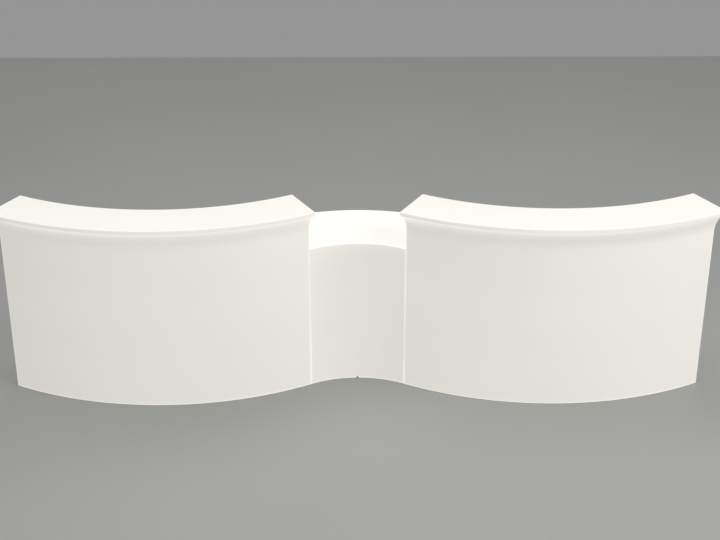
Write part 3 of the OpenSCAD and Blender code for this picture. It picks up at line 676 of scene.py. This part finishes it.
def dress(material, edge, *nodes, join=1e-5, full=False):
    """Gives CAD nodes a finish and small rounded edges.

    Points closer than join are one. With full, flat faces are merged first, and the roundings
    keep their width beside short edges too.
    """
    for name in nodes:
        piece = frame["nodes"][name]
        piece.data.materials.clear()
        piece.data.materials.append(material)
        weld = piece.modifiers.new("weld", "WELD")
        weld.merge_threshold = join
        if full:
            flat = piece.modifiers.new("flat", "DECIMATE")
            flat.decimate_type = "DISSOLVE"
            flat.angle_limit = math.radians(0.3)
        bevel = piece.modifiers.new("edges", "BEVEL")
        bevel.width = edge
        bevel.segments = 2
        bevel.limit_method = "ANGLE"
        bevel.angle_limit = math.radians(40)
        bevel.loop_slide = False
        bevel.use_clamp_overlap = not full
        smooth_normals(piece)


def each(*words):
    """Names of one node per module for each word."""
    return [f"{side}_{word}" for word in words for side in ("left", "middle", "right")]


# Shells
opal = opal_plastic()
for side, word in ((-1, "left"), (0, "middle"), (1, "right")):
    shell = Shell(side).build(word + "_shell")
    shell.data.materials.append(opal)
    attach(shell, "counter")
    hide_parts(word + "_fascia")

# Carcass, lighting, wiring, feet and fasteners
feet = [name for name in frame["nodes"] if "_foot_" in name]
cheeks = [name for name in frame["nodes"] if name.endswith("_cheek")]
board = melamine_board()
dress(board, 0.0008, *each("base", "shelf", "shelf_batten"))
dress(board, 0.0006, *cheeks, full=True)
dress(reflector_panel(), 0.0006, *each("reflector"), "middle_light_tray", "cable_saddles")
dress(worktop_laminate(), 0.00015, "left_worktop", "right_worktop")
dress(satin_aluminium(), 0.0002, *each("led_channels", "driver"))
dress(lamp_strip(), 0.0001, "led_strips")
dress(opal_cover(), 0.0002, "led_covers")
dress(cable_jacket(), 0.0004, "mains_cables", "led_leads")
dress(dark_plastic("soft_rubber", 0.018, 0.028, 0.7), 0.0003, "grommets", join=1e-6)
dress(dark_plastic("black_plastic", 0.016, 0.024, 0.4), 0.0005, "mains_inlet")
dress(dark_plastic("grey_plastic", 0.05, 0.07, 0.45), 0.0004, "switch_rocker", *feet)
dress(zinc_steel(), 0.0003, "shelf_pegs", "foot_sleeves", "joining_bolts", "joining_nuts",
      "joining_washers", "panel_screws", "cheek_screws")


# Studio

# Half the floor's width, which is also how far it comes forward, and how far it goes back
FLOOR_HALF = 7
FLOOR_BACK = 5.56


def floor():
    """Plain pale floor."""
    s = Surface("studio_floor", 0.6)
    s.colour(s.ramp(s.noise(0.7, 3), (0.3, (0.322, 0.327, 0.315)), (0.7, (0.335, 0.340, 0.328))))
    s.bump((s.noise(60, 3), 0.0004))
    data = bpy.data.meshes.new("studio_floor")
    corners = [(-FLOOR_HALF, -FLOOR_HALF, 0), (FLOOR_HALF, -FLOOR_HALF, 0),
               (FLOOR_HALF, FLOOR_BACK, 0), (-FLOOR_HALF, FLOOR_BACK, 0)]
    data.from_pydata(corners, [], [(0, 1, 2, 3)])
    data.materials.append(s.material)
    piece = bpy.data.objects.new("studio_floor", data)
    bpy.context.scene.collection.objects.link(piece)


def lamp(name, at, target, size, watts, colour):
    """Area lamp that faces its target."""
    light = bpy.data.lights.new(name, "AREA")
    light.shape = "RECTANGLE"
    light.size, light.size_y = size
    light.energy = watts
    light.color = colour
    piece = bpy.data.objects.new(name, light)
    piece.location = at
    piece.rotation_euler = (Vector(target) - Vector(at)).to_track_quat("-Z", "Y").to_euler()
    bpy.context.scene.collection.objects.link(piece)


def world(light, seen):
    """Even light from all round; the camera, gloss and glass see a plain grey."""
    made = bpy.data.worlds.new("studio")
    made.use_nodes = True
    tree = made.node_tree
    lighting = tree.nodes["Background"]
    lighting.inputs["Color"].default_value = (*light, 1)
    backdrop = tree.nodes.new("ShaderNodeBackground")
    backdrop.inputs["Color"].default_value = (*seen, 1)
    path = tree.nodes.new("ShaderNodeLightPath")
    either = path.outputs["Is Camera Ray"]
    for word in ("Is Glossy Ray", "Is Transmission Ray"):
        node = tree.nodes.new("ShaderNodeMath")
        node.operation = "MAXIMUM"
        tree.links.new(either, node.inputs[0])
        tree.links.new(path.outputs[word], node.inputs[1])
        either = node.outputs[0]
    mix = tree.nodes.new("ShaderNodeMixShader")
    tree.links.new(either, mix.inputs[0])
    tree.links.new(lighting.outputs[0], mix.inputs[1])
    tree.links.new(backdrop.outputs[0], mix.inputs[2])
    tree.links.new(mix.outputs[0], tree.nodes["World Output"].inputs["Surface"])
    bpy.context.scene.world = made


def camera():
    """Camera at the photograph's place: lens on a 36 mm sensor, angles in radians."""
    data = bpy.data.cameras.new("camera")
    data.lens = 73.72
    data.sensor_width = 36
    pitch, yaw, roll = 0.47192, -0.0087, 0.00043
    piece = bpy.data.objects.new("camera", data)
    piece.location = (-0.0488, -7.2214, 4.3561)
    turn = Matrix.Rotation(yaw, 3, "Z") @ Matrix.Rotation(math.pi / 2 - pitch, 3, "X")
    piece.rotation_euler = (turn @ Matrix.Rotation(roll, 3, "Z")).to_euler()
    bpy.context.scene.collection.objects.link(piece)
    bpy.context.scene.camera = piece


floor()
world(light=(0.555, 0.555, 0.56), seen=(0.30, 0.302, 0.302))
lamp("key", at=(4.7, -3.3, 4.8), target=(0, 0, 0.5),
     size=(4.5, 3.5), watts=205, colour=(1.0, 0.99, 0.97))
lamp("overhead", at=(-1.1, 0.9, 6.0), target=(-0.4, 0.1, 0.9),
     size=(6.0, 3.0), watts=114, colour=(1.0, 1.0, 1.0))
lamp("fill", at=(-2.0, -4.5, 2.7), target=(0.2, 0, 0.5),
     size=(4.0, 3.0), watts=32, colour=(0.97, 0.985, 1.0))
camera()
bpy.context.scene.view_settings.view_transform = "Standard"
